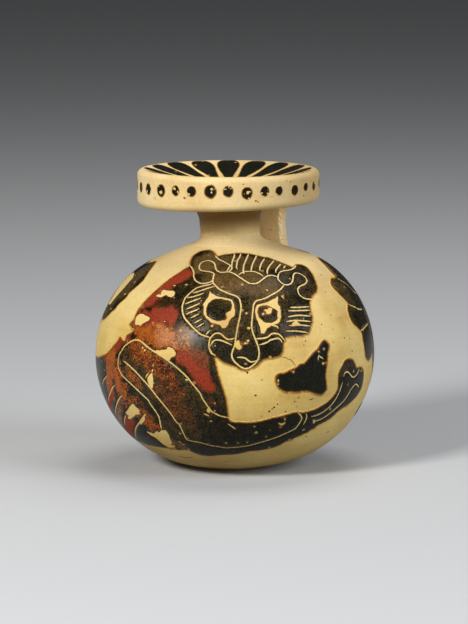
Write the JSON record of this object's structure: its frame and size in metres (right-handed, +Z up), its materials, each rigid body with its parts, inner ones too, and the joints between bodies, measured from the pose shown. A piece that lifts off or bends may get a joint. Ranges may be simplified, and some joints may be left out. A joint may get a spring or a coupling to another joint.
{
  "type": "aryballos flask",
  "caption": "Round oil flask of pale fired clay with a short neck, a wide dished mouth disc and one strap handle, painted with a panther in dark slip and added red.",
  "frame": {"origin": "on the surface the flask stands on, at the middle of its bounding box", "axes": "+Z up; the painted front faces -Y; the neck leans 2.2 degrees towards -X; the handle is behind, 27 degrees from +Y towards +X"},
  "size_m": [0.1, 0.1, 0.1066],
  "materials": {
    "fired_clay": "smoothed pale buff clay with a soft sheen",
    "smoothed_clay": "hand-smoothed pale buff clay, matt",
    "dark_slip": "brown-black clay slip, semi-gloss",
    "red_slip": "added red slip over the dark slip, matt"
  },
  "bodies": {
    "root": {"globe": "fired_clay", "neck": "fired_clay", "mouth_disc": "fired_clay", "strap_handle": "fired_clay", "neck_luting": "smoothed_clay", "handle_foot_luting": "smoothed_clay", "handle_head_luting": "smoothed_clay"}
  },
  "joints": []
}
